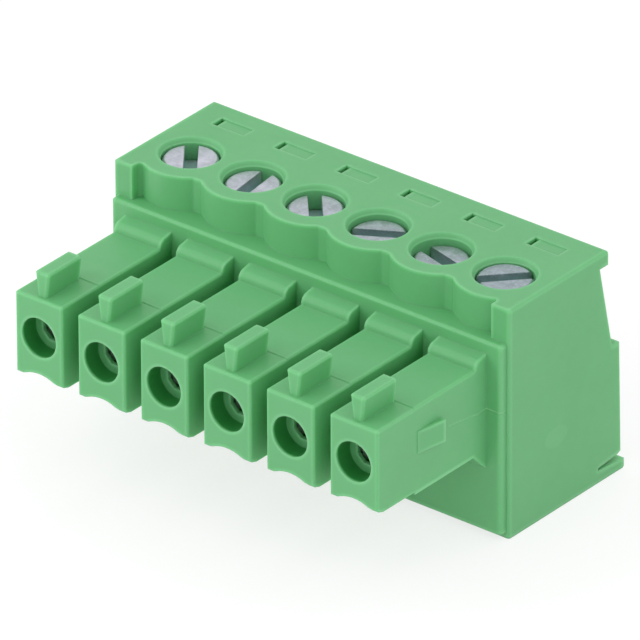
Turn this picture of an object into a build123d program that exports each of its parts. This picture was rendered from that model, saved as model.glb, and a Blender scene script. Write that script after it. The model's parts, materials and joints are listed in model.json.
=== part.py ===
from build123d import *
import os
from math import sqrt

# Six-pole pluggable screw terminal, in millimetres.
# +X runs along the row, the pin side faces -Y, the wire side faces +Y, and +Z is up.
# The origin is the centre of the overall outline, at the level of the feet.
# Distances called reach are taken from the row of screw axes.

# Row
pole_count = 6
pitch = 3.5
end_margin = 2.25
height = 11.3
front_reach = 10.49
rear_reach = 5.55

# End plates, seen from the side
plate_thickness = 1.01
plate_front_reach = 2.55
plate_edge_bevel = 0.08
lip_reach = 4.42
lip_height = 0.7
lip_round = 0.2
slope_top_reach = 3.84
slope_foot_reach = 4.74
block_height = 6.38
block_top_reach = 5.24
block_foot_reach = 5.38
block_foot_chamfer = 0.26
slit_depth = 1.4
slit_mouth_height = 0.39
slit_end_height = 0.13
foot_height = 0.47
foot_chamfer = 0.06

# Body between the end plates
body_front_reach = 2.96
body_side_inset = 0.16
body_front_bottom = 0.3
body_rear_inset = 0.15
body_corner_round = 0.18
body_edge_bevel = 0.1
ledge_height = 9.63
scallop_radius = 2.3
scallop_valley_reach = 1.73
scallop_corner_round = 0.17

# Core-outs in the underside, one below each chamber
core_width = 2.3
core_front_reach = 1.7
core_rear_reach = 2.9
chamber_floor_wall = 0.8

# Marker pockets in the top, behind the screws
pocket_left = 0.94
pocket_right = 0.83
pocket_front_reach = 2.64
pocket_length = 0.7
pocket_depth = 0.05
probe_slot_width = 0.22
probe_slot_depth = 2.6

# Plug fingers
finger_width = 2.62
finger_top = 8.55
finger_bottom = 4.37
finger_top_bevel = 0.07
finger_foot_bevel = 0.05
finger_tip_bevel = 0.07
finger_lead_length = 0.55
finger_lead_height = 0.18
finger_root_reach = 7.9
finger_root_drop = 0.13
finger_tip_drop = 0.03
finger_groove_radius = 1.8
finger_groove_depth = 0.43
shoulder_height = 0.49
shoulder_crown = 0.4
shoulder_length = 0.78
gusset_length = 0.86
gusset_height = 0.85

# Coding tab on top of each finger, a dovetail
tab_top_width = 0.78
tab_base_width = 0.5
tab_height = 1.2
tab_front_setback = 0.25
tab_length = 2.22
tab_bevel = 0.08

# Snap wedge on the outer side of the two end fingers
wedge_front_reach = 7.75
wedge_length = 1.6
wedge_front_rise = 0.04
wedge_rear_rise = 0.3
wedge_bottom = 6.25
wedge_height = 1.08

# Pin entry and contact cavity of each finger
pin_height = 6.6
entry_radius = 0.96
entry_depth = 1.0
guide_wall = 0.22
guide_width = 1.16
guide_bevel = 0.34
cavity_width = 1.9
cavity_height = 2.8

# Contact, stamped from one strip
strip = 0.35
bar_width = 1.7
bar_underside = 4.8
bar_rear_reach = 1.9
fork_rear_reach = 3.3
fork_root_reach = 5.2
fork_root_height = 2.3
arm_strip = 0.28
arm_height = 1.5
arm_pinch_reach = 8.1
arm_pinch_gap = 0.56
arm_tip_setback = 0.25
arm_tip_spread = 1.76
barb_length = 0.5

# Clamp cage, drawn fully open
cage_width = 2.6
cage_length = 3.2
cage_wall = 0.3
cage_floor = 0.45
cage_roof = 0.85
cage_bevel = 0.15
cage_travel = 2.0
wire_opening = 2.1
grip_groove_count = 4
grip_groove_width = 0.2
grip_groove_depth = 0.08

# Clamp screw, size M2
shank_radius = 0.95
head_radius = 1.25
head_height = 1.15
head_bevel = 0.1
head_recess = 0.5
drive_width = 0.62
drive_depth = 0.8
# How each screw is turned and how far it is backed out, from left to right
drive_angles = [127, 97, 131, 30, 165, 47]
screw_lifts = [0.25, 0.15, 0.14, 0.07, 0.0, 0.3]

# Clearances
slide_clearance = 0.05
thread_clearance = 0.03
head_clearance = 0.08
neck_clearance = 0.11
seat_clearance = 0.05
tip_clearance = 0.03
wire_funnel = 0.12
well_flare = 0.13
well_flare_depth = 0.22

# Places that follow from the sizes above
axis_y = (front_reach - rear_reach) / 2
pole_xs = [(i - (pole_count - 1) / 2) * pitch for i in range(pole_count)]
half_width = pole_xs[-1] + end_margin
post_inner = half_width - plate_thickness
body_half_width = half_width - body_side_inset
bar_top = bar_underside + strip
cage_floor_top = bar_underside - wire_opening
cage_bottom = cage_floor_top - cage_floor
cage_roof_underside = bar_top + slide_clearance
cage_top = cage_roof_underside + cage_roof
chamber_bottom = cage_bottom - slide_clearance
chamber_top = cage_top + cage_travel + slide_clearance
chamber_half_width = cage_width / 2 + slide_clearance
chamber_half_length = cage_length / 2 + slide_clearance
head_underside = height - head_recess - head_height
well_floor = head_underside - seat_clearance
well_radius = head_radius + head_clearance
neck_radius = shank_radius + neck_clearance
screw_tip = bar_top + tip_clearance
cavity_bottom = pin_height - cavity_height / 2
guide_front = front_reach - entry_depth
cavity_front = guide_front - guide_wall
root_bottom = finger_bottom - finger_root_drop
tip_top = finger_top - finger_tip_drop
tab_front_reach = front_reach - tab_front_setback
jog_rear_reach = chamber_half_length + strip
jog_front_reach = jog_rear_reach + (cavity_bottom - bar_underside)

# Allowances of the modelling itself: how far joined pieces reach into each other, how far cuts
# reach into the open, and what counts as lying on a plane
overlap = 0.2
beyond = 1
hair = 1e-4


def yz_prism(section, x_low, x_high):
    """Extrude a section drawn in Y and Z along X."""
    return Pos(x_low, 0, 0) * extrude(Plane.YZ * section, amount=x_high - x_low, dir=(1, 0, 0))


def block(x_low, x_high, y_low, y_high, z_low, z_high):
    """A box from its lowest to its highest corner."""
    size = (x_high - x_low, y_high - y_low, z_high - z_low)
    return Pos(x_low, y_low, z_low) * Box(*size, align=(Align.MIN, Align.MIN, Align.MIN))


def across(reach):
    """A plane that faces the pin side, at a reach in front of the screw axes."""
    return Plane(origin=(0, -reach, 0), x_dir=(1, 0, 0), z_dir=(0, -1, 0))


def upright_rod(radius, z_low, z_high):
    """A round upright rod on the screw axis."""
    upward = (Align.CENTER, Align.CENTER, Align.MIN)
    return Pos(0, 0, z_low) * Cylinder(radius, z_high - z_low, align=upward)


def edges_where(solid, test):
    """The edges whose centre passes a test."""
    return [edge for edge in solid.edges() if test(edge.center(), edge)]


def side_section(inset):
    """Side view: lip, slope, wire-side block, slit and foot. The inset moves the wire side in."""
    slit_top = foot_height + slit_mouth_height
    slit_middle = foot_height + slit_mouth_height / 2
    block_foot = slit_top + block_foot_chamfer / 2
    slit_end = block_foot_reach - block_foot_chamfer - slit_depth
    outline = Polyline(
        (-plate_front_reach, 0),
        (-plate_front_reach, height),
        (lip_reach, height),
        (lip_reach, height - lip_height),
        (slope_top_reach - inset, height - lip_height),
        (slope_foot_reach - inset, block_height),
        (block_top_reach - inset, block_height),
        (block_foot_reach - inset, block_foot),
        (block_foot_reach - block_foot_chamfer - inset, slit_top),
        (slit_end, slit_middle + slit_end_height / 2),
        (slit_end, slit_middle - slit_end_height / 2),
        (rear_reach, foot_height),
        (rear_reach, foot_chamfer),
        (rear_reach - foot_chamfer, 0),
        close=True,
    )
    face = make_face(outline)
    lip_corner = [v for v in face.vertices() if v.X > lip_reach - hair and v.Y > height - hair]
    return fillet(lip_corner, lip_round)


def end_plate(side):
    """An end plate, with its outer edges eased. Side is -1 for left and 1 for right."""
    inner, outer = sorted((side * post_inner, side * half_width))
    plate = yz_prism(side_section(0), inner, outer)
    long_enough = (height - block_height) / 2
    outer_edges = edges_where(
        plate,
        lambda c, e: abs(c.X - side * half_width) < hair and e.length > long_enough and c.Z > foot_height,
    )
    return chamfer(outer_edges, plate_edge_bevel)


def front_block():
    """The lower front of the body, with its ledge and rounded upright corners."""
    shape = block(
        -body_half_width,
        body_half_width,
        -body_front_reach,
        -plate_front_reach + overlap,
        body_front_bottom,
        ledge_height,
    )
    corners = edges_where(
        shape, lambda c, e: c.Y < -body_front_reach + hair and abs(c.X) > body_half_width - hair
    )
    shape = fillet(corners, body_corner_round)
    rim = edges_where(shape, lambda c, e: c.Z > ledge_height - hair and c.Y < -plate_front_reach)
    return chamfer(rim, body_edge_bevel)


def scallop_cut():
    """What is taken off the upper front: an arc round each screw, and a flat valley between two."""
    half_arc = sqrt(scallop_radius**2 - scallop_valley_reach**2)
    post_offset = post_inner - pole_xs[-1]
    post_reach = sqrt(scallop_radius**2 - post_offset**2)
    clear_reach = body_front_reach + beyond
    lines = []
    last = (-post_inner, -post_reach)
    first = last
    for i, x in enumerate(pole_xs):
        start = (x - half_arc, -scallop_valley_reach) if i > 0 else last
        if i > 0:
            lines.append(Line(last, start))
        end = (x + half_arc, -scallop_valley_reach) if i < pole_count - 1 else (post_inner, -post_reach)
        lines.append(ThreePointArc(start, (x, -scallop_radius), end))
        last = end
    lines.append(Line(last, (post_inner, -clear_reach)))
    lines.append(Line((post_inner, -clear_reach), (-post_inner, -clear_reach)))
    lines.append(Line((-post_inner, -clear_reach), first))
    face = make_face(lines)
    corners = [vertex for vertex in face.vertices() if vertex.Y > -clear_reach + hair]
    face = fillet(corners, scallop_corner_round)
    return Pos(0, 0, ledge_height) * extrude(face, amount=height - ledge_height + beyond)


def finger_length(bottom, top, reach_low, reach_high):
    """A length of a finger, with its long edges eased."""
    half = finger_width / 2
    shape = block(-half, half, -reach_high, -reach_low, bottom, top)
    long_edges = shape.edges().filter_by(Axis.Y)
    shape = chamfer(long_edges.group_by(Axis.Z)[-1], finger_top_bevel)
    long_edges = shape.edges().filter_by(Axis.Y)
    return chamfer(long_edges.group_by(Axis.Z)[0], finger_foot_bevel)


def finger_lead():
    """What the sloped lead-in takes off the underside of a finger's tip."""
    outline = Polyline(
        (-front_reach + finger_lead_length, finger_bottom),
        (-front_reach, finger_bottom + finger_lead_height),
        (-front_reach - beyond, finger_bottom + finger_lead_height),
        (-front_reach - beyond, finger_bottom - beyond),
        (-front_reach + finger_lead_length, finger_bottom - beyond),
        close=True,
    )
    return yz_prism(make_face(outline), -finger_width, finger_width)


def finger():
    """One plug finger at x = 0, without its cavity."""
    root = finger_length(root_bottom, finger_top, plate_front_reach, finger_root_reach)
    tip = finger_length(finger_bottom, tip_top, finger_root_reach - overlap, front_reach) - finger_lead()
    tip = chamfer(edges_where(tip, lambda c, e: c.Y < -front_reach + hair), finger_tip_bevel)
    shape = root + tip + shoulder() + gusset() + coding_tab()
    groove_axis = finger_bottom + finger_groove_depth - finger_groove_radius
    groove = extrude(
        across(body_front_reach + gusset_length) * Pos(0, groove_axis) * Circle(finger_groove_radius),
        amount=front_reach - body_front_reach - gusset_length + beyond,
    )
    return shape - groove


def shoulder():
    """The rounded shoulder where a finger's top meets the body."""
    top = finger_top + shoulder_height
    crown = (-body_front_reach - shoulder_length + shoulder_crown, finger_top + shoulder_crown)
    low = (-body_front_reach - shoulder_length, finger_top)
    outline = [
        Line((-plate_front_reach, finger_top - overlap), (-plate_front_reach, top)),
        Line((-plate_front_reach, top), (-body_front_reach, top)),
        Line((-body_front_reach, top), crown),
        RadiusArc(crown, low, -shoulder_crown),
        Line(low, (low[0], finger_top - overlap)),
        Line((low[0], finger_top - overlap), (-plate_front_reach, finger_top - overlap)),
    ]
    return yz_prism(make_face(outline), -finger_width / 2, finger_width / 2)


def gusset():
    """The sloped web under a finger's root."""
    outline = Polyline(
        (-plate_front_reach, root_bottom - gusset_height),
        (-body_front_reach, root_bottom - gusset_height),
        (-body_front_reach - gusset_length, root_bottom),
        (-body_front_reach - gusset_length, root_bottom + overlap),
        (-plate_front_reach, root_bottom + overlap),
        close=True,
    )
    return yz_prism(make_face(outline), -finger_width / 2, finger_width / 2)


def coding_tab():
    """The dovetail tab on top of a finger."""
    base = tip_top - overlap
    tab_top = tip_top + tab_height
    spread = (tab_top_width - tab_base_width) / 2 / tab_height
    base_half = tab_base_width / 2 - spread * overlap
    top_half = tab_top_width / 2
    outline = Polyline(
        (-base_half, base),
        (base_half, base),
        (top_half, tab_top),
        (-top_half, tab_top),
        close=True,
    )
    section = make_face(across(tab_front_reach - tab_length) * outline)
    shape = extrude(section, amount=tab_length, dir=(0, -1, 0))
    tab_rear = -tab_front_reach + tab_length
    top_and_front = edges_where(
        shape,
        lambda c, e: (c.Z > tab_top - hair and c.Y < tab_rear - hair)
        or (c.Y < -tab_front_reach + hair and c.Z > base + hair),
    )
    return chamfer(top_and_front, tab_bevel)


def snap_wedge(side):
    """The snap wedge on the outer side of an end finger."""
    face_x = finger_width / 2
    outline = Polyline(
        (face_x - overlap, -wedge_front_reach),
        (face_x + wedge_front_rise, -wedge_front_reach),
        (face_x + wedge_rear_rise, -wedge_front_reach + wedge_length),
        (face_x - overlap, -wedge_front_reach + wedge_length),
        close=True,
    )
    wedge = Pos(pole_xs[-1], 0, wedge_bottom) * extrude(make_face(outline), amount=wedge_height)
    return wedge if side > 0 else mirror(wedge, Plane.YZ)


def pole_cut():
    """All that one pole takes out of the moulding, at x = 0."""
    well = upright_rod(well_radius, well_floor, height + beyond)
    flare = Pos(0, 0, height - well_flare_depth / 2) * Cone(
        well_radius, well_radius + well_flare, well_flare_depth
    )
    neck = upright_rod(neck_radius, chamber_top - overlap, well_floor + overlap)
    chamber = block(
        -chamber_half_width,
        chamber_half_width,
        -chamber_half_length,
        chamber_half_length,
        chamber_bottom,
        chamber_top,
    )
    upright_cuts = [well, flare, neck, chamber, core_out(), *top_pocket()]
    return [*upright_cuts, wire_entry(), contact_passage(), pin_entry()]


def wire_entry():
    """The square wire entry behind a chamber, with a funnel at its mouth."""
    rear = block_foot_reach + beyond
    top = cage_top + slide_clearance
    passage = block(-chamber_half_width, chamber_half_width, 0, rear, chamber_bottom, top)
    middle = (chamber_bottom + top) / 2
    mouth = slope_foot_reach - body_rear_inset
    plane = Plane(origin=(0, mouth, middle), x_dir=(-1, 0, 0), z_dir=(0, 1, 0))
    small = plane * Rectangle(2 * chamber_half_width, top - chamber_bottom)
    grow = 2 * (rear - mouth) * wire_funnel / (block_top_reach - slope_foot_reach)
    large = plane.offset(rear - mouth) * Rectangle(
        2 * chamber_half_width + grow, top - chamber_bottom + grow
    )
    return passage + loft([small.face(), large.face()])


def contact_passage():
    """The way from the chamber into the finger, whose floor carries the contact."""
    outline = Polyline(
        (0, bar_underside),
        (-jog_rear_reach, bar_underside),
        (-jog_front_reach, cavity_bottom),
        (-cavity_front, cavity_bottom),
        (-cavity_front, cavity_bottom + cavity_height),
        (0, cavity_bottom + cavity_height),
        close=True,
    )
    return yz_prism(make_face(outline), -cavity_width / 2, cavity_width / 2)


def pin_entry():
    """The round pin entry in a finger's tip, and the guide hole for a square pin in its end wall."""
    entry = across(guide_front) * Pos(0, pin_height) * Circle(entry_radius)
    square = Rectangle(guide_width, guide_width)
    guide = across(cavity_front - overlap) * Pos(0, pin_height) * chamfer(square.vertices(), guide_bevel)
    return extrude(entry, amount=entry_depth + overlap) + extrude(guide, amount=guide_wall + 2 * overlap)


def core_out():
    """The recess in the underside below a chamber."""
    top = chamber_bottom - chamber_floor_wall
    return block(-core_width / 2, core_width / 2, -core_front_reach, core_rear_reach, -beyond, top)


def top_pocket():
    """The shallow pocket behind a screw, and the deep probe slot at its left end."""
    rear = pocket_front_reach + pocket_length
    sky = height + beyond
    pocket = block(-pocket_left, pocket_right, pocket_front_reach, rear, height - pocket_depth, sky)
    slot = block(
        -pocket_left,
        -pocket_left + probe_slot_width,
        pocket_front_reach,
        rear,
        height - probe_slot_depth,
        sky,
    )
    return [pocket, slot]


def housing():
    """The one-piece moulding."""
    shape = yz_prism(side_section(body_rear_inset), -post_inner - overlap, post_inner + overlap)
    shape = shape + end_plate(-1) + end_plate(1) + front_block()
    shape = shape - scallop_cut()
    one_finger = finger()
    shape = shape + [Pos(x, 0, 0) * one_finger for x in pole_xs]
    shape = shape + snap_wedge(1) + snap_wedge(-1)
    return shape - [Pos(x, 0, 0) * cut for x in pole_xs for cut in pole_cut()]


def contact():
    """A stamped contact at x = 0: clamp bar, jog, web and two spring arms."""
    side_view = Polyline(
        (bar_rear_reach, bar_underside),
        (-jog_rear_reach, bar_underside),
        (-jog_front_reach, cavity_bottom),
        (-fork_root_reach, cavity_bottom),
        (-fork_root_reach, cavity_bottom + strip),
        (-jog_front_reach + strip / 3, cavity_bottom + strip),
        (-jog_rear_reach + strip / 3, bar_top),
        (bar_rear_reach, bar_top),
        close=True,
    )
    shape = yz_prism(make_face(side_view), -bar_width / 2, bar_width / 2)
    arm_low = pin_height - arm_height / 2
    half_root = bar_width / 2 - arm_strip / 2
    tip_reach = cavity_front - arm_tip_setback
    for side in (-1, 1):
        cheek_x = sorted((side * bar_width / 2, side * (bar_width / 2 - arm_strip)))
        cheek = block(
            cheek_x[0],
            cheek_x[1],
            -fork_root_reach,
            -fork_rear_reach,
            cavity_bottom,
            cavity_bottom + fork_root_height,
        )
        path = Polyline(
            (side * half_root, -fork_root_reach + overlap),
            (side * half_root, -fork_root_reach - overlap),
            (side * (arm_pinch_gap + arm_strip) / 2, -arm_pinch_reach),
            (side * (arm_tip_spread - arm_strip) / 2, -tip_reach),
        )
        arm = Pos(0, 0, arm_low) * extrude(trace(path, line_width=arm_strip), amount=arm_height)
        shape = shape + cheek + arm
        barb = Polyline(
            (side * (bar_width / 2 - arm_strip / 2), -fork_rear_reach - barb_length),
            (side * bar_width / 2, -fork_rear_reach - barb_length),
            (side * cavity_width / 2, -fork_rear_reach),
            (side * (bar_width / 2 - arm_strip / 2), -fork_rear_reach),
            close=True,
        )
        shape = shape + Pos(0, 0, pin_height - strip) * extrude(make_face(barb), amount=2 * strip)
    return shape


def clamp_cage():
    """A clamp cage at x = 0, fully open: a bent sleeve with a threaded roof."""
    outer = block(
        -cage_width / 2,
        cage_width / 2,
        -cage_length / 2,
        cage_length / 2,
        cage_bottom,
        cage_top,
    )
    outer = chamfer(outer.edges().filter_by(Axis.Y), cage_bevel)
    window_height = cage_roof_underside - cage_floor_top
    window_middle = (cage_roof_underside + cage_floor_top) / 2
    half_window = cage_width / 2 - cage_wall
    window = across(-cage_length) * Pos(0, window_middle) * Rectangle(2 * half_window, window_height)
    shape = outer - extrude(window, amount=2 * cage_length)
    thread_radius = shank_radius + thread_clearance
    shape = shape - upright_rod(thread_radius, cage_roof_underside - overlap, cage_top + beyond)
    step = cage_length / grip_groove_count
    for i in range(grip_groove_count):
        y = (i - (grip_groove_count - 1) / 2) * step
        outline = Polyline(
            (y - grip_groove_width / 2, cage_floor_top),
            (y, cage_floor_top - grip_groove_depth),
            (y + grip_groove_width / 2, cage_floor_top),
            close=True,
        )
        shape = shape - yz_prism(make_face(outline), -half_window, half_window)
    return shape


def clamp_screw():
    """A slotted clamp screw on the axis, seated, with its slot along X."""
    head_top = head_underside + head_height
    shank = upright_rod(shank_radius, screw_tip, head_underside + overlap)
    head = upright_rod(head_radius, head_underside, head_top)
    head = chamfer(edges_where(head, lambda c, e: abs(c.Z - head_top) < hair), head_bevel)
    slot = block(
        -head_radius - beyond,
        head_radius + beyond,
        -drive_width / 2,
        drive_width / 2,
        head_top - drive_depth,
        head_top + beyond,
    )
    return head + shank - slot


def write(name, shape):
    """Place a piece in the row's frame and write it."""
    export_step(Pos(0, axis_y, 0) * shape, os.path.join("parts", name + ".step"))


os.makedirs("parts", exist_ok=True)
write("housing", housing())
one_contact = contact()
one_cage = clamp_cage()
one_screw = clamp_screw()
for i, x in enumerate(pole_xs):
    write(f"contact_{i + 1}", Pos(x, 0, 0) * one_contact)
    write(f"clamp_cage_{i + 1}", Pos(x, 0, 0) * one_cage)
    placed = Pos(x, 0, screw_lifts[i]) * Rot(0, 0, drive_angles[i]) * one_screw
    write(f"clamp_screw_{i + 1}", placed)
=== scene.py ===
import json
import math

import bpy
from mathutils import Matrix, Vector

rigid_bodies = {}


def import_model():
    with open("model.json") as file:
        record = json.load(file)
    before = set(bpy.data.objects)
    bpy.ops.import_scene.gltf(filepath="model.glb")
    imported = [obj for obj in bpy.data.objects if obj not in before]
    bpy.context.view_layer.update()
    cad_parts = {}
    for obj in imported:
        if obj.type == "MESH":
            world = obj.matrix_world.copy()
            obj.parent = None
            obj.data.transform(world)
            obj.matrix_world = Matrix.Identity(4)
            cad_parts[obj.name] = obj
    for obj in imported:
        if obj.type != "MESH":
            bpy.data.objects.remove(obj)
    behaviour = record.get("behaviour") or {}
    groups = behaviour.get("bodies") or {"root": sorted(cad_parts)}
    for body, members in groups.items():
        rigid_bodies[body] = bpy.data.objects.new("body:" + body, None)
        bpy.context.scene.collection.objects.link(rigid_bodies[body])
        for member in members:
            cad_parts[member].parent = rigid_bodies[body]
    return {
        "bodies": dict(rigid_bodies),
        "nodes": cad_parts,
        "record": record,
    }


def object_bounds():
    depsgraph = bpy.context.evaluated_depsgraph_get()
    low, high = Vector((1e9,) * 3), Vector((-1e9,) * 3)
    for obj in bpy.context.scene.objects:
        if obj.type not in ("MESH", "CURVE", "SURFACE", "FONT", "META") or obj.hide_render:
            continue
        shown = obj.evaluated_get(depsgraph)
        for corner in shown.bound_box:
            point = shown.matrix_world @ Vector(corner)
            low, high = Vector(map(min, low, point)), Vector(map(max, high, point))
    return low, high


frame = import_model()
cad_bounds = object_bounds()

MM = 0.001
record = frame["record"]
joints = {joint["name"]: joint for joint in record["behaviour"]["joints"]}
pin_entry = {mount["name"]: mount for mount in record["mounts"]}["pin_entry_1"]
pole_count = sum(1 for name in frame["bodies"] if name.startswith("screw_"))
screw_axes = [Vector(joints[f"screw_{i}_turn"]["pos_m"]) for i in range(1, pole_count + 1)]
axis_y = screw_axes[0].y
pole_pitch = screw_axes[1].x - screw_axes[0].x
top_level = cad_bounds[1][2]

# Camera, fitted to the photograph. Angles in degrees, lengths in millimetres.
camera_elevation = 29.097
camera_azimuth = 38.888
camera_roll = -0.2286
camera_distance = 681.79
camera_right = -1.2063
camera_up = 5.1985
camera_lens = 875.93
sensor_width = 36.0

# Colours, as linear red, green and blue. A pair is the two tones of a cloudy surface.
green_tones = ((0.141, 0.465, 0.191), (0.148, 0.481, 0.200))
# Painted shade: deeper, more saturated greens for half-sheltered and deeply sheltered places.
green_painted_half_shade = (0.135, 0.492, 0.190)
green_painted_deep_shade = (0.030, 0.300, 0.062)
# Painted shade on the walls of the pin entries.
green_entry_painted_shade = (0.024, 0.235, 0.046)
# Painted highlight on outer edges and on the rings inside the screw wells.
green_painted_highlight = (0.230, 0.630, 0.290)
green_gate = (0.200, 0.560, 0.255)
# Painted highlight along the parting line's raised bead.
green_parting_painted_highlight = (0.280, 0.700, 0.340)
zinc_darker_tones = ((0.30, 0.37, 0.40), (0.45, 0.52, 0.57))
zinc_lighter_tones = ((0.50, 0.52, 0.58), (0.72, 0.72, 0.82))
zinc_speck = (0.74, 0.76, 0.84)
# Painted green reflection in the screws' slots.
zinc_slot_painted_reflection = (0.370, 0.590, 0.560)
nickel_tones = ((0.56, 0.55, 0.52), (0.68, 0.67, 0.63))
tin_tones = ((0.52, 0.60, 0.53), (0.62, 0.69, 0.62))
white = (1.0, 1.0, 1.0)

# Most of a noise texture's values lie between these two.
noise_range = (0.3, 0.7)

# How strongly a painted highlight or the gate mark changes the moulding's colour, and the shelter at
# which the painted deep shade takes over.
edge_highlight_strength = 0.85
ring_highlight_strength = 0.9
gate_strength = 0.25
deep_shade_from = 0.65

# Edges, in millimetres: how far the painted edge highlight reaches and how far the shading is softened.
# The end plates, outward of plate_from, have the broader ones.
edge_reach = 0.19
edge_radius = 0.10
plate_edge_reach = 0.25
plate_edge_radius = 0.14
plate_from = 10.4
plate_to = 10.8

# The pin entries' walls, which get painted shade, in millimetres. Depth is from the finger's face.
entry_margin = 0.03
entry_fade_depth = 0.14
entry_floor_margin = 0.06

# The ring inside each screw well where its mouth narrows, which gets a painted highlight, in
# millimetres.
ring_drop = 0.22
ring_half_width = 0.06
ring_reach = 1.45

# Marks that the mould leaves on the outer sides, in millimetres. Reach is from the row of screw axes,
# and a side is measured from the middle of the block. The parting line rises ahead of its bend, and
# there it fades to what it is on the outer fingers.
parting_height = 6.35
parting_bend_reach = 3.57
parting_slope = 0.144
parting_half_width = 0.07
parting_rear_reach = 2.6
parting_front_reach = 5.6
parting_fade_from = 0.2
parting_fade_to = 0.5
parting_finger_strength = 0.45
parting_bump = 0.05
outer_side = 10.0
outer_side_margin = 0.02
gate_side = 10.95
gate_reach = 0.73
gate_level = 3.66
gate_half_length = 0.8
gate_half_height = 0.5
gate_bump = 0.004

# Light and floor. The camera and reflections see floor_seen with floor_glow. Other light meets
# floor_bounce. The floor reaches that far each way, in metres. Its drop is in millimetres.
world_strength = 0.88
floor_bounce = (0.86, 0.86, 0.86)
floor_seen = (0.30, 0.30, 0.30)
floor_glow = 0.74
floor_reach = 3.0
floor_drop = 0.02


def node(tree, kind, **settings):
    """Add a shader node, set its attributes and return it."""
    made = tree.nodes.new(kind)
    for name, value in settings.items():
        setattr(made, name, value)
    return made


def link(tree, source, target):
    """Join an output socket to an input socket."""
    tree.links.new(source, target)


def set_or_link(tree, socket, value):
    """Give a socket a number or a colour, or link it to an output socket."""
    if isinstance(value, (int, float)):
        socket.default_value = value
    elif isinstance(value, tuple):
        socket.default_value = (*value, 1.0)
    else:
        link(tree, value, socket)


def new_material(name):
    """A node material with a Principled shader: the material, its tree and that shader."""
    material = bpy.data.materials.new(name)
    material.use_nodes = True
    tree = material.node_tree
    return material, tree, tree.nodes["Principled BSDF"]


def object_place(tree):
    """Where a point of the surface is, in the frame's metres at rest."""
    return node(tree, "ShaderNodeTexCoord").outputs["Object"]


def split_place(tree, place):
    """The x, y and z of a place."""
    made = node(tree, "ShaderNodeSeparateXYZ")
    link(tree, place, made.inputs[0])
    return made.outputs


def maths(tree, operation, first, second=None):
    """A maths node on sockets or numbers."""
    made = node(tree, "ShaderNodeMath", operation=operation)
    for socket, value in zip(made.inputs, (first, second)):
        if value is not None:
            set_or_link(tree, socket, value)
    return made.outputs[0]


def product(tree, first, *others):
    """The product of several sockets or numbers."""
    for other in others:
        first = maths(tree, "MULTIPLY", first, other)
    return first


def span(tree, value, source, target=(0.0, 1.0)):
    """Map a value from one range to another, kept within it."""
    made = node(tree, "ShaderNodeMapRange")
    made.inputs["From Min"].default_value, made.inputs["From Max"].default_value = source
    made.inputs["To Min"].default_value, made.inputs["To Max"].default_value = target
    link(tree, value, made.inputs["Value"])
    return made.outputs["Result"]


def noise(tree, place, per_mm, detail, roughness=0.5):
    """A noise texture with about that many bumps per millimetre."""
    made = node(tree, "ShaderNodeTexNoise")
    made.inputs["Scale"].default_value = per_mm / MM
    made.inputs["Detail"].default_value = detail
    made.inputs["Roughness"].default_value = roughness
    link(tree, place, made.inputs["Vector"])
    return made.outputs["Fac"]


def blend_colours(tree, factor, low, high):
    """A colour between two others by a factor. Each may be a colour or an output socket."""
    made = node(tree, "ShaderNodeMix", data_type="RGBA")
    link(tree, factor, made.inputs["Factor"])
    set_or_link(tree, made.inputs[6], low)
    set_or_link(tree, made.inputs[7], high)
    return made.outputs[2]


def bump(tree, height, depth_mm, strength=1.0, normal=None):
    """A bump of that depth in millimetres, on top of a normal if one is given."""
    made = node(tree, "ShaderNodeBump")
    made.inputs["Strength"].default_value = strength
    made.inputs["Distance"].default_value = depth_mm * MM
    link(tree, height, made.inputs["Height"])
    if normal is not None:
        link(tree, normal, made.inputs["Normal"])
    return made.outputs["Normal"]


def rounded_edges(tree, radius):
    """A normal that softens the sharp edges by that radius in metres."""
    made = node(tree, "ShaderNodeBevel", samples=6)
    set_or_link(tree, made.inputs["Radius"], radius)
    return made.outputs["Normal"]


def thin_edges(tree, reach):
    """How near a point is to an outer edge: 1 on the edge and 0 on a flat face. Reach is in metres."""
    made = node(tree, "ShaderNodeAmbientOcclusion", samples=6, inside=True, only_local=True)
    set_or_link(tree, made.inputs["Distance"], reach)
    on_edge, on_face = 0.55, 1.0
    return span(tree, made.outputs["AO"], (on_edge, on_face), (1.0, 0.0))


def shelter(tree, reach_mm, open_at, closed_at):
    """How sheltered a point is: 0 on an open face and 1 deep in a recess."""
    made = node(tree, "ShaderNodeAmbientOcclusion", samples=8, only_local=True)
    made.inputs["Distance"].default_value = reach_mm * MM
    return span(tree, made.outputs["AO"], (closed_at, open_at), (1.0, 0.0))


def from_pole(tree, x):
    """How far a point is from the middle of its pole, sideways."""
    from_left = maths(tree, "SUBTRACT", x, screw_axes[0].x - pole_pitch / 2)
    return maths(tree, "SUBTRACT", maths(tree, "FLOORED_MODULO", from_left, pole_pitch), pole_pitch / 2)


def squares(tree, first, second):
    """The sum of two squares."""
    return maths(tree, "ADD", maths(tree, "POWER", first, 2.0), maths(tree, "POWER", second, 2.0))


def within(tree, first, second, reach_mm):
    """1 where two offsets lie inside a circle of that radius."""
    return maths(tree, "LESS_THAN", squares(tree, first, second), (reach_mm * MM) ** 2)


def entry_shade_mask(tree, place):
    """Where the pin entries get painted shade: 1 along their round walls, fading towards the finger's
    face.
    """
    x, y, z = split_place(tree, place)
    middle = Vector(pin_entry["pos_m"])
    length = pin_entry["dims"]["length_mm"]
    upward = maths(tree, "SUBTRACT", z, middle.z)
    inside = within(tree, from_pole(tree, x), upward, pin_entry["dims"]["r_mm"] + entry_margin)
    depth = maths(tree, "SUBTRACT", y, middle.y - length / 2 * MM)
    fade = span(tree, depth, (0.0, entry_fade_depth * MM))
    before_floor = maths(tree, "LESS_THAN", depth, (length - entry_floor_margin) * MM)
    return product(tree, inside, fade, before_floor)


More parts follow.
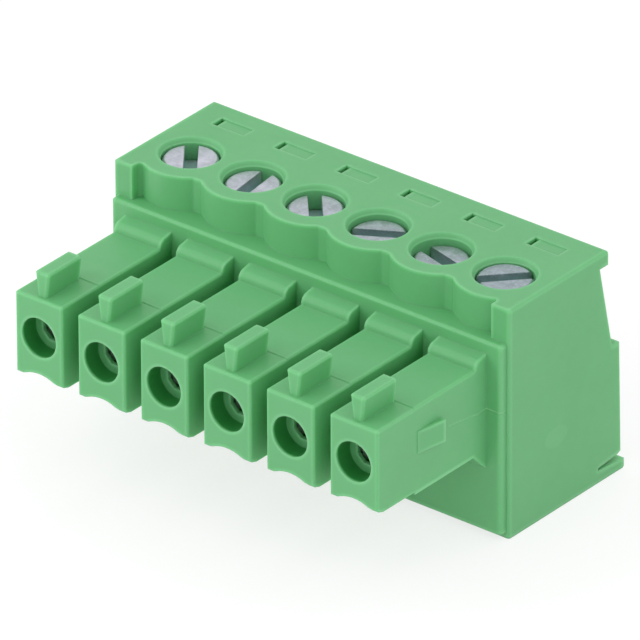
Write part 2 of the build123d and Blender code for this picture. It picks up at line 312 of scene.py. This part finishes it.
def well_ring_highlight_mask(tree, place):
    """Where the rings inside the screw wells get a painted highlight, at the edge where their mouths
    narrow: 1 on a ring.
    """
    x, y, z = split_place(tree, place)
    near_axis = within(tree, from_pole(tree, x), maths(tree, "SUBTRACT", y, axis_y), ring_reach)
    in_row = maths(tree, "LESS_THAN", maths(tree, "ABSOLUTE", x), screw_axes[-1].x + pole_pitch / 2)
    off_ring = maths(tree, "ABSOLUTE", maths(tree, "SUBTRACT", z, top_level - ring_drop * MM))
    ring = span(tree, off_ring, (0.0, ring_half_width * MM), (1.0, 0.0))
    return product(tree, near_axis, in_row, ring)


def parting_line(tree, place):
    """The mould's parting line on the outer sides of the block, a raised bead with a painted highlight
    along it: 1 on the line and 0 off it.
    """
    x, y, z = split_place(tree, place)
    ahead = maths(tree, "SUBTRACT", axis_y - parting_bend_reach * MM, y)
    rise = maths(tree, "MULTIPLY", maths(tree, "MAXIMUM", ahead, 0.0), parting_slope)
    level = maths(tree, "ADD", rise, parting_height * MM)
    off_line = maths(tree, "ABSOLUTE", maths(tree, "SUBTRACT", z, level))
    line = span(tree, off_line, (0.0, parting_half_width * MM), (1.0, 0.0))
    side = maths(tree, "ABSOLUTE", x)
    outside = span(tree, side, (outer_side * MM, (outer_side + outer_side_margin) * MM))
    before_front = maths(tree, "LESS_THAN", ahead, (parting_front_reach - parting_bend_reach) * MM)
    past_rear = maths(tree, "GREATER_THAN", ahead, (parting_rear_reach - parting_bend_reach) * MM)
    fade = (parting_fade_from * MM, parting_fade_to * MM)
    strength = span(tree, ahead, fade, (1.0, parting_finger_strength))
    return product(tree, line, outside, before_front, past_rear, strength)


def gate_mark(tree, place):
    """The faint oval of the mould's gate on the right end plate: 1 inside it, soft at its outline."""
    x, y, z = split_place(tree, place)
    along = maths(tree, "SUBTRACT", y, axis_y + gate_reach * MM)
    upward = maths(tree, "SUBTRACT", z, gate_level * MM)
    along = maths(tree, "DIVIDE", along, gate_half_length * MM)
    upward = maths(tree, "DIVIDE", upward, gate_half_height * MM)
    outline = (0.8, 1.1)
    oval = span(tree, squares(tree, along, upward), outline, (1.0, 0.0))
    return product(tree, oval, maths(tree, "GREATER_THAN", x, gate_side * MM))


def moulding_colour(tree, place, mottle, edge_highlight_mask, gate, parting):
    """The moulding's green: mottled, with painted shade in recesses and pin entries, painted highlights
    on edges, well rings and the parting line, and lighter at the gate mark.
    """
    sheltered = shelter(tree, reach_mm=1.6, open_at=0.72, closed_at=0.12)
    layers = (
        (span(tree, sheltered, (0.0, deep_shade_from)), green_painted_half_shade),
        (span(tree, sheltered, (deep_shade_from, 1.0)), green_painted_deep_shade),
        (entry_shade_mask(tree, place), green_entry_painted_shade),
        (product(tree, edge_highlight_mask, edge_highlight_strength), green_painted_highlight),
        (product(tree, well_ring_highlight_mask(tree, place), ring_highlight_strength), green_painted_highlight),
        (product(tree, gate, gate_strength), green_gate),
        (parting, green_parting_painted_highlight),
    )
    colour = blend_colours(tree, span(tree, mottle, noise_range), *green_tones)
    for factor, layer in layers:
        colour = blend_colours(tree, factor, colour, layer)
    return colour


def moulding_material():
    """Green polyamide: matte, finely textured and slightly translucent."""
    material, tree, shader = new_material("moulded_green")
    place = object_place(tree)
    mottle = noise(tree, place, per_mm=0.35, detail=4.0)
    grain = noise(tree, place, per_mm=14.0, detail=2.0)
    cloud = noise(tree, place, per_mm=1.6, detail=3.0)
    gate = gate_mark(tree, place)
    parting = parting_line(tree, place)
    outward = maths(tree, "ABSOLUTE", split_place(tree, place)["X"])
    on_plate = (plate_from * MM, plate_to * MM)
    reach = span(tree, outward, on_plate, (edge_reach * MM, plate_edge_reach * MM))
    radius = span(tree, outward, on_plate, (edge_radius * MM, plate_edge_radius * MM))
    colour = moulding_colour(tree, place, mottle, thin_edges(tree, reach), gate, parting)
    link(tree, colour, shader.inputs["Base Color"])
    link(tree, span(tree, cloud, noise_range, (0.40, 0.50)), shader.inputs["Roughness"])
    shader.inputs["IOR"].default_value = 1.48
    shader.inputs["Subsurface Weight"].default_value = 0.35
    shader.inputs["Subsurface Radius"].default_value = (0.35, 1.0, 0.45)
    shader.inputs["Subsurface Scale"].default_value = 0.9 * MM
    normal = bump(tree, grain, depth_mm=0.004, strength=0.5, normal=rounded_edges(tree, radius))
    normal = bump(tree, parting, depth_mm=parting_bump, normal=normal)
    normal = bump(tree, gate, depth_mm=gate_bump, normal=normal)
    link(tree, normal, shader.inputs["Normal"])
    return material


def screw_material():
    """Zinc-plated steel: patchy and specked, lighter towards the left, with a painted green reflection
    in the slots.
    """
    material, tree, shader = new_material("zinc_plated_steel")
    place = object_place(tree)
    cloud = noise(tree, place, per_mm=2.2, detail=5.0, roughness=0.65)
    speck = noise(tree, place, per_mm=9.0, detail=3.0)
    patchy = span(tree, cloud, (0.35, 0.65))
    flecks = span(tree, speck, (0.55, 0.75), (0.0, 0.6))
    darker_zinc = blend_colours(tree, patchy, *zinc_darker_tones)
    lighter_zinc = blend_colours(tree, patchy, *zinc_lighter_tones)
    along_row = split_place(tree, place)["X"]
    toward_left = span(tree, along_row, (screw_axes[0].x, screw_axes[-1].x), (1.0, 0.0))
    colour = blend_colours(tree, toward_left, darker_zinc, lighter_zinc)
    colour = blend_colours(tree, flecks, colour, zinc_speck)
    # Painted green reflection where the slots are sheltered.
    recess = shelter(tree, reach_mm=0.7, open_at=0.85, closed_at=0.45)
    colour = blend_colours(tree, recess, colour, zinc_slot_painted_reflection)
    link(tree, colour, shader.inputs["Base Color"])
    link(tree, span(tree, recess, (0.0, 1.0), (0.85, 0.25)), shader.inputs["Metallic"])
    link(tree, span(tree, cloud, noise_range, (0.34, 0.48)), shader.inputs["Roughness"])
    soft = rounded_edges(tree, radius=0.08 * MM)
    normal = bump(tree, speck, depth_mm=0.014, strength=0.7, normal=soft)
    link(tree, normal, shader.inputs["Normal"])
    return material


def sheet_material(name, tones, metallic, roughness, clouds_per_mm, grains_per_mm, grain_mm, edge_mm):
    """Plated sheet metal: cloudy in tone and gloss, with a fine grain and softened edges."""
    material, tree, shader = new_material(name)
    place = object_place(tree)
    cloud = noise(tree, place, clouds_per_mm, detail=4.0)
    grain = noise(tree, place, grains_per_mm, detail=2.0)
    link(tree, blend_colours(tree, span(tree, cloud, noise_range), *tones), shader.inputs["Base Color"])
    shader.inputs["Metallic"].default_value = metallic
    link(tree, span(tree, cloud, noise_range, roughness), shader.inputs["Roughness"])
    normal = bump(tree, grain, grain_mm, strength=0.4, normal=rounded_edges(tree, edge_mm * MM))
    link(tree, normal, shader.inputs["Normal"])
    return material


def nickel_material():
    """Nickel-plated clamp cages."""
    return sheet_material(
        "nickel_plate", nickel_tones, metallic=1.0, roughness=(0.26, 0.38),
        clouds_per_mm=1.8, grains_per_mm=12.0, grain_mm=0.005, edge_mm=0.06,
    )


def tin_material():
    """Tin-plated contacts, duller and greyer."""
    return sheet_material(
        "tin_plate", tin_tones, metallic=0.2, roughness=(0.38, 0.52),
        clouds_per_mm=2.6, grains_per_mm=10.0, grain_mm=0.004, edge_mm=0.04,
    )


def paint(node_name, material):
    """Give a CAD node its material."""
    for slot in frame["nodes"][node_name].material_slots:
        slot.material = material


def dress_nodes():
    """Materials for every CAD node."""
    screw = screw_material()
    nickel = nickel_material()
    tin = tin_material()
    paint("housing", moulding_material())
    for i in range(1, pole_count + 1):
        paint(f"clamp_screw_{i}", screw)
        paint(f"clamp_cage_{i}", nickel)
        paint(f"contact_{i}", tin)


def place_camera():
    """The photograph's camera: a long lens, so that the view is nearly parallel."""
    elevation = math.radians(camera_elevation)
    azimuth = math.radians(camera_azimuth)
    roll = math.radians(camera_roll)
    flat = math.cos(elevation)
    back = Vector((math.sin(azimuth) * flat, -math.cos(azimuth) * flat, math.sin(elevation)))
    level = Vector((math.cos(azimuth), math.sin(azimuth), 0.0))
    upright = back.cross(level)
    right = math.cos(roll) * level + math.sin(roll) * upright
    up = -math.sin(roll) * level + math.cos(roll) * upright
    spot = (back * camera_distance + right * camera_right + up * camera_up) * MM
    spot.y += axis_y
    data = bpy.data.cameras.new("photo_camera")
    data.lens = camera_lens
    data.sensor_width = sensor_width
    data.clip_start = 0.05
    data.clip_end = 20.0
    camera = bpy.data.objects.new("photo_camera", data)
    camera.matrix_world = Matrix.Translation(spot) @ Matrix((right, up, back)).transposed().to_4x4()
    bpy.context.collection.objects.link(camera)
    bpy.context.scene.camera = camera


def floor_material():
    """A matte floor that shows white to the camera and keeps a soft shadow."""
    material, tree, shader = new_material("pale_floor")
    shader.inputs["Roughness"].default_value = 0.9
    shader.inputs["Specular IOR Level"].default_value = 0.0
    set_or_link(tree, shader.inputs["Emission Color"], white)
    path = node(tree, "ShaderNodeLightPath")
    seen = maths(tree, "MAXIMUM", path.outputs["Is Camera Ray"], path.outputs["Is Glossy Ray"])
    link(tree, blend_colours(tree, seen, floor_bounce, floor_seen), shader.inputs["Base Color"])
    link(tree, span(tree, seen, (0.0, 1.0), (0.0, floor_glow)), shader.inputs["Emission Strength"])
    return material


def make_floor():
    """A wide pale floor just below the object."""
    mesh = bpy.data.meshes.new("floor")
    signs = ((-1, -1), (1, -1), (1, 1), (-1, 1))
    mesh.from_pydata([(floor_reach * x, floor_reach * y, 0) for x, y in signs], [], [(0, 1, 2, 3)])
    mesh.materials.append(floor_material())
    floor = bpy.data.objects.new("floor", mesh)
    floor.location.z = -floor_drop * MM
    bpy.context.collection.objects.link(floor)


def add_lamp(name, place, size, energy):
    """A soft round lamp that points at the object. Metres and watts."""
    data = bpy.data.lights.new(name, "AREA")
    data.shape = "DISK"
    data.size = size
    data.energy = energy
    lamp = bpy.data.objects.new(name, data)
    lamp.location = place
    lamp.rotation_euler = (-lamp.location).to_track_quat("-Z", "Y").to_euler()
    bpy.context.collection.objects.link(lamp)


def light_room():
    """Even light from all round, with a soft lamp at the front left and a faint one at the right."""
    world = bpy.data.worlds.new("light_tent")
    world.use_nodes = True
    tree = world.node_tree
    background = tree.nodes["Background"]
    set_or_link(tree, background.inputs["Color"], white)
    path = node(tree, "ShaderNodeLightPath")
    strength = span(tree, path.outputs["Is Camera Ray"], (0.0, 1.0), (world_strength, 1.0))
    link(tree, strength, background.inputs["Strength"])
    bpy.context.scene.world = world
    add_lamp("soft_lamp", place=(-0.055, -0.058, 0.045), size=0.09, energy=0.0205)
    add_lamp("side_fill", place=(0.090, -0.030, 0.050), size=0.10, energy=0.008)


dress_nodes()
place_camera()
make_floor()
light_room()
bpy.context.scene.view_settings.view_transform = "Standard"
